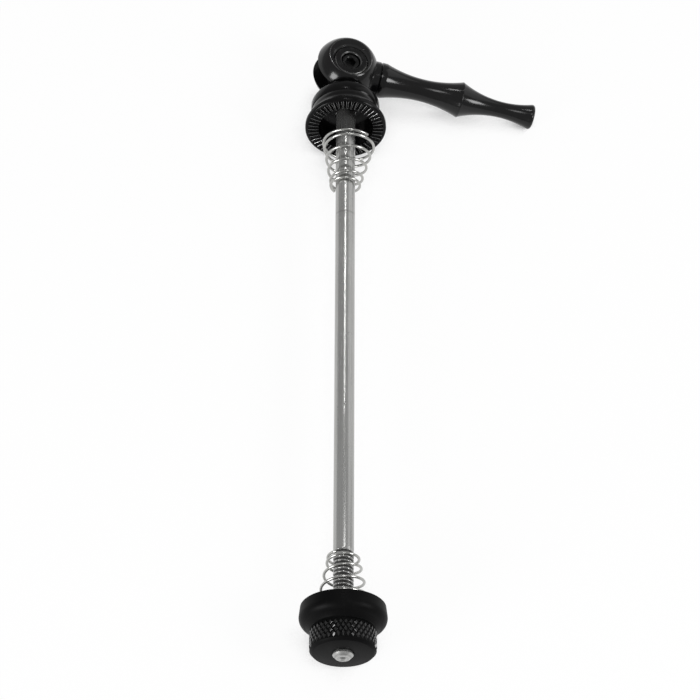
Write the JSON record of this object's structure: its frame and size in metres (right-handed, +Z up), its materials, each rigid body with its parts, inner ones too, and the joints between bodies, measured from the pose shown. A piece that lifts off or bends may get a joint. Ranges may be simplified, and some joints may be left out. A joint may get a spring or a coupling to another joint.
{
  "type": "quick release skewer",
  "caption": "Quick release wheel skewer: steel rod with a ball-cam lever, a cupped toothed washer, a knurled toothed nut and conical springs.",
  "frame": {"origin": "on the table, under the middle of the box around the skewer as it lies with its lever open", "axes": "+Y along the rod towards the lever, +X towards the open lever's handle, +Z up from the table"},
  "size_m": [0.0616, 0.1796, 0.0211],
  "materials": {
    "rod_steel": "ground steel with fine lines along the rod",
    "spring_steel": "bright drawn wire",
    "black_steel": "blackened, with bright worn edges",
    "black_aluminium": "gloss black anodised"
  },
  "bodies": {
    "rod": {"rod": "rod_steel", "pivot_barrel": "black_steel", "barrel_lock_screw": "black_steel"},
    "lever": {"cam_ball": "black_aluminium", "lever_handle": "black_aluminium"},
    "washer_set": {"ball_cup": "black_aluminium", "toothed_washer": "black_aluminium"},
    "lever_spring": {"lever_spring": "spring_steel"},
    "nut_spring": {"nut_spring": "spring_steel"},
    "clamp_nut": {"clamp_nut": "black_aluminium"}
  },
  "joints": [
    {"name": "lever_swing", "type": "hinge", "parent": "rod", "child": "lever", "pos_m": [-0.02028, 0.08054, 0.01055], "axis": [0.1449, 0, 0.9894], "range_deg": [0, 180]},
    {"name": "washer_rock", "type": "hinge", "parent": "rod", "child": "washer_set", "pos_m": [-0.02028, 0.06249, 0.00515], "axis": [1, 0, 0], "range_deg": [0, 10.01]},
    {"name": "lever_spring_slide", "type": "slide", "parent": "rod", "child": "lever_spring", "axis": [0, 1, 0], "range_m": [-0.09, 0.001]},
    {"name": "nut_travel", "type": "slide", "parent": "rod", "child": "nut_spring", "axis": [0, 1, 0], "range_m": [-0.0011, 0.0101]},
    {"name": "nut_turn", "type": "hinge", "parent": "nut_spring", "child": "clamp_nut", "pos_m": [-0.02028, -0.07641, 0.01055], "axis": [0, 1, 0], "range_deg": [-360, 3600]}
  ],
  "couplings": [
    {"joint": "washer_rock", "follows": "lever_swing", "ratio": 0.055556},
    {"joint": "nut_travel", "follows": "nut_turn", "m_per_rad": 0.00015915}
  ]
}
